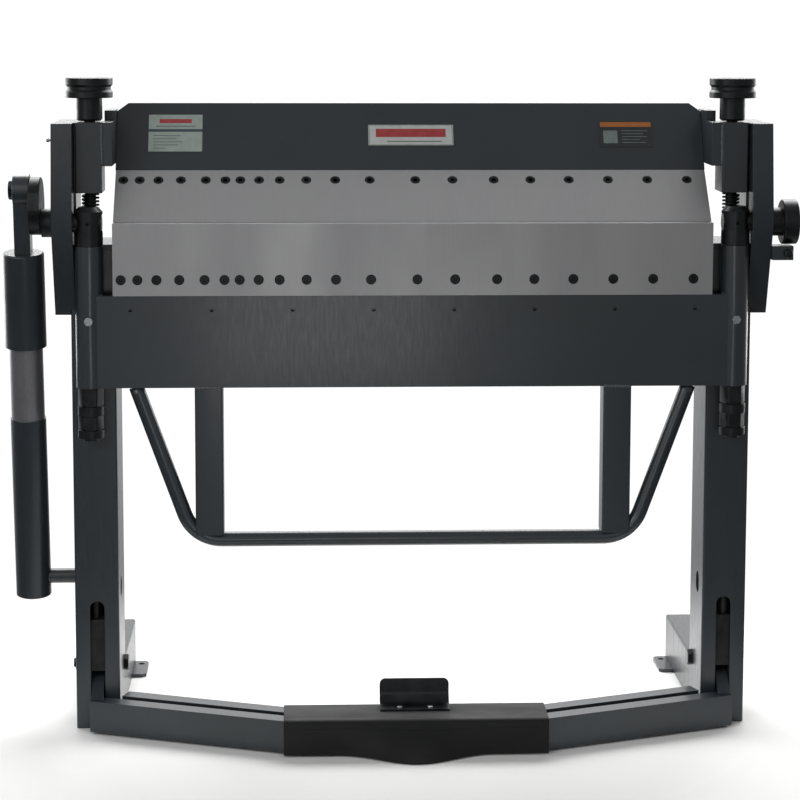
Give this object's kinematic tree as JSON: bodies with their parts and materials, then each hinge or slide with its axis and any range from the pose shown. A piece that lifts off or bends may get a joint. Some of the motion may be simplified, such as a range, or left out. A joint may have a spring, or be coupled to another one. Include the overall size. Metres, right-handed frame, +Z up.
{
  "type": "sheet metal brake",
  "caption": "Foot-operated box-and-pan folding brake with segmented clamping fingers, a swinging leaf with a tube handle, knobs and a counterbalance strut.",
  "frame": {"origin": "on the floor under the middle of the machine's bounding box", "axes": "+X to the operator's right along the bend line, +Y to the rear, +Z up"},
  "size_m": [1.6864, 0.799, 1.409],
  "materials": {
    "charcoal_paint": "semi-gloss powder coat",
    "ground_steel": "surface ground",
    "black_oxide": "oiled black oxide",
    "zinc_plate": "zinc plated",
    "bare_tube": "drawn steel tube",
    "bronze": "turned bronze",
    "black_rubber": "moulded rubber",
    "label_foil": "printed aluminium foil",
    "label_orange": "printed vinyl"
  },
  "bodies": {
    "frame": {"leg_left": "charcoal_paint", "leg_right": "charcoal_paint", "leg_top_plates": "charcoal_paint", "base_rails": "charcoal_paint", "anchor_tabs": "charcoal_paint", "side_plates": "charcoal_paint", "pivot_bushes": "bronze", "guide_strips": "charcoal_paint", "bed_top_plate": "ground_steel", "bed_beam": "charcoal_paint", "stop_bracket": "charcoal_paint", "stop_screw": "black_oxide", "guide_grease_nipple": "zinc_plate", "strut_pivot_bar": "charcoal_paint", "pedal_pivot_bolts": "black_oxide", "lift_springs": "black_oxide"},
    "leaf": {"leaf_panel": "charcoal_paint", "leaf_segments": "ground_steel", "leaf_back_plate": "charcoal_paint", "leaf_segment_screws": "black_oxide", "leaf_posts": "charcoal_paint", "pivot_knuckles": "black_oxide", "leaf_studs": "black_oxide", "stud_nuts": "black_oxide", "stud_collars": "black_oxide", "post_lock_screws": "zinc_plate", "handle_tube": "charcoal_paint", "handle_struts": "charcoal_paint", "pivot_shafts": "black_oxide", "crank": "black_oxide", "stop_disc": "black_oxide"},
    "clamp_beam": {"fingers": "ground_steel", "finger_bar": "charcoal_paint", "finger_screws": "black_oxide", "beam_front_plate": "charcoal_paint", "beam_back_plate": "charcoal_paint", "beam_ribs": "charcoal_paint", "end_blocks": "charcoal_paint", "end_brackets": "charcoal_paint", "pull_rods": "black_oxide", "rod_clevises": "black_oxide", "clevis_pins": "black_oxide", "spec_plate": "label_foil", "name_plate": "label_foil", "notice_plate": "label_orange"},
    "left_knob": {"knob_left": "black_oxide"},
    "right_knob": {"knob_right": "black_oxide"},
    "pedal": {"pedal_front_bar": "charcoal_paint", "pedal_rear_bar": "charcoal_paint", "pedal_levers": "charcoal_paint", "pedal_tread": "black_rubber", "toe_plate": "black_oxide", "toe_plate_screws": "zinc_plate"},
    "strut_tube": {"strut_inner_tube": "bare_tube", "strut_lower_cover": "charcoal_paint", "strut_spring": "bare_tube"},
    "strut_sleeve": {"strut_sleeve": "charcoal_paint", "strut_rod_end": "charcoal_paint", "strut_pin_bolt": "black_oxide", "strut_piston": "bare_tube"}
  },
  "joints": [
    {"name": "leaf_swing", "type": "hinge", "parent": "frame", "child": "leaf", "pos_m": [0.02675, -0.1495, 1.106], "axis": [-1, 0, 0], "range_deg": [0, 135]},
    {"name": "beam_lift", "type": "slide", "parent": "frame", "child": "clamp_beam", "axis": [0, 0, 1], "range_m": [0, 0.047], "deforming": ["lift_springs"]},
    {"name": "pedal_swing", "type": "hinge", "parent": "frame", "child": "pedal", "pos_m": [0.02675, 0.0091, 0.112], "axis": [-1, 0, 0], "range_deg": [0, 26.9]},
    {"name": "left_knob_turn", "type": "hinge", "parent": "clamp_beam", "child": "left_knob", "pos_m": [-0.65925, -0.0895, 1.366], "axis": [0, 0, 1], "range_deg": [-360, 360]},
    {"name": "right_knob_turn", "type": "hinge", "parent": "clamp_beam", "child": "right_knob", "pos_m": [0.71275, -0.0895, 1.366], "axis": [0, 0, 1], "range_deg": [-360, 360]},
    {"name": "strut_swing", "type": "hinge", "parent": "frame", "child": "strut_tube", "pos_m": [-0.79925, -0.0395, 0.321], "axis": [-1, 0, 0], "range_deg": [0, 2.6]},
    {"name": "strut_slide", "type": "slide", "parent": "strut_tube", "child": "strut_sleeve", "axis": [0, 0.1278, -0.9918], "range_m": [0, 0.1225], "deforming": ["strut_spring"]}
  ],
  "couplings": [
    {"joint": "pedal_swing", "follows": "beam_lift", "rad_per_m": 9.9566},
    {"joint": "strut_swing", "follows": "leaf_swing", "ratio": 0.019156},
    {"joint": "strut_slide", "follows": "leaf_swing", "m_per_rad": 0.051906}
  ]
}
